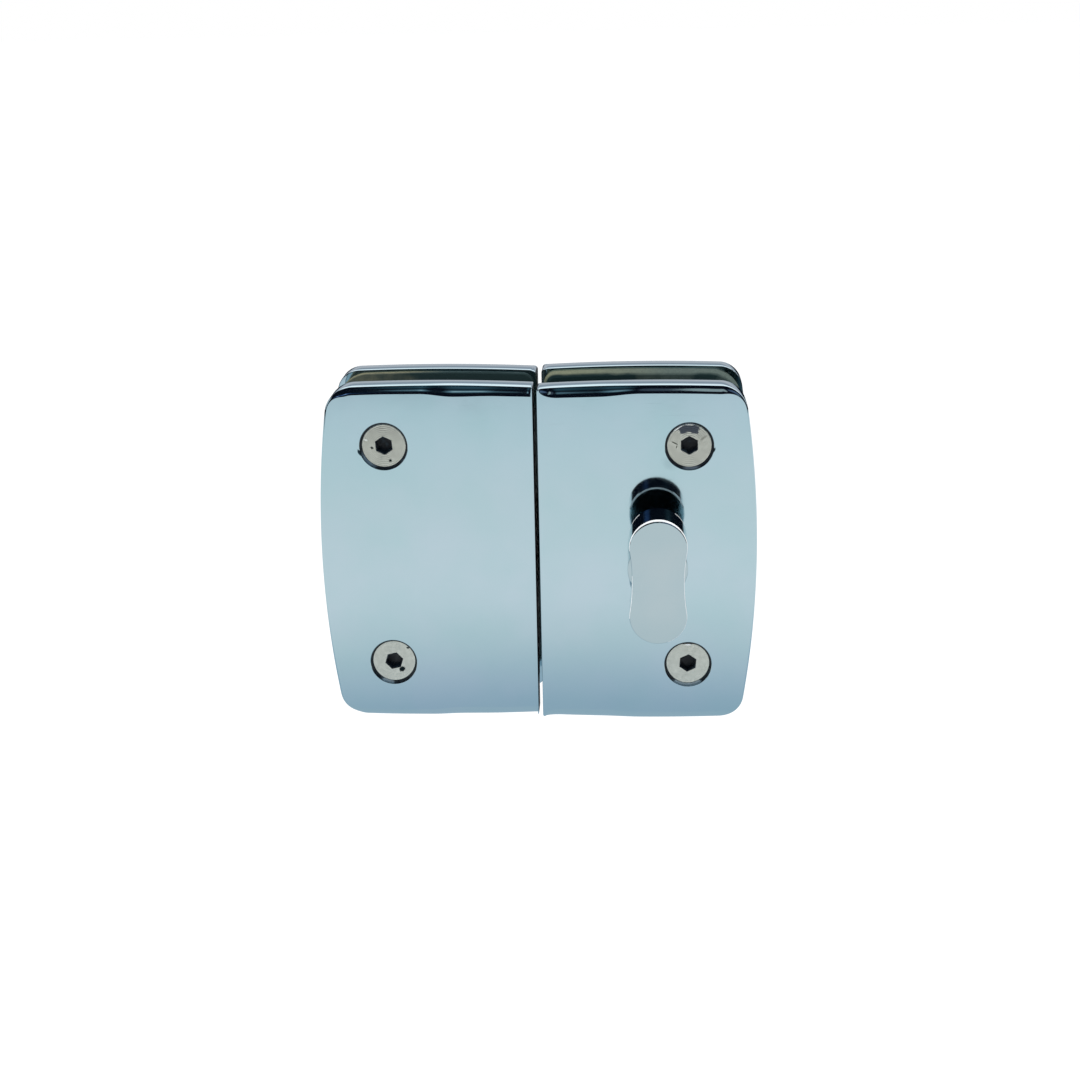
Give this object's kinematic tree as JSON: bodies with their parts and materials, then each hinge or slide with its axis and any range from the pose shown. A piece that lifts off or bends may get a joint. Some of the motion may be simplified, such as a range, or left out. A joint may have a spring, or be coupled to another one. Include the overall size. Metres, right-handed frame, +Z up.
{
  "type": "glass door lock",
  "caption": "Clamped glass-to-glass door lock in polished chrome: a keeper half and a lock half with a waisted thumbturn that throws a dead bolt across the seam.",
  "frame": {"origin": "the middle of the seam between the two halves, at mid height and in the middle plane of the glass", "axes": "X along the door, keeper half on -X and lock half on +X; Y from the thumbturn side to the back, thumbturn on -Y; Z up"},
  "size_m": [0.1188, 0.0542, 0.0952],
  "materials": {
    "polished_chrome": "mirror polished",
    "screw_steel": "fine turned",
    "case_brass": "machined",
    "inner_steel": "machined",
    "dark_steel": "blackened",
    "gasket_fibre": "matte",
    "nylon": "matte"
  },
  "bodies": {
    "lock_set": {"keeper_front_plate": "polished_chrome", "keeper_back_plate": "polished_chrome", "keeper_front_gasket": "gasket_fibre", "keeper_back_gasket": "gasket_fibre", "keeper_block": "case_brass", "keeper_liner": "nylon", "keeper_upper_screw": "screw_steel", "keeper_lower_screw": "screw_steel", "lock_front_plate": "polished_chrome", "lock_back_plate": "polished_chrome", "lock_front_gasket": "gasket_fibre", "lock_back_gasket": "gasket_fibre", "lock_case": "case_brass", "case_cover": "inner_steel", "cover_screws": "dark_steel", "lock_upper_screw": "screw_steel", "lock_lower_screw": "screw_steel", "friction_washer": "dark_steel", "knob_bush": "nylon", "release_bush": "nylon"},
    "turn": {"drive_cam": "inner_steel", "spindle": "inner_steel", "thumbturn_knob": "polished_chrome", "knob_clip": "dark_steel", "knob_grub_screw": "dark_steel", "release_turn": "polished_chrome", "release_clip": "dark_steel"},
    "bolt": {"dead_bolt": "inner_steel"}
  },
  "joints": [
    {"name": "bolt_slide", "type": "slide", "parent": "lock_set", "child": "bolt", "axis": [-1, 0, 0], "range_m": [0, 0.01202]},
    {"name": "thumbturn", "type": "hinge", "parent": "lock_set", "child": "turn", "pos_m": [0.0325, 0, 0], "axis": [0, 1, 0], "range_deg": [0, 90]}
  ],
  "couplings": [
    {"joint": "thumbturn", "follows": "bolt_slide", "rad_per_m": 130.68}
  ]
}
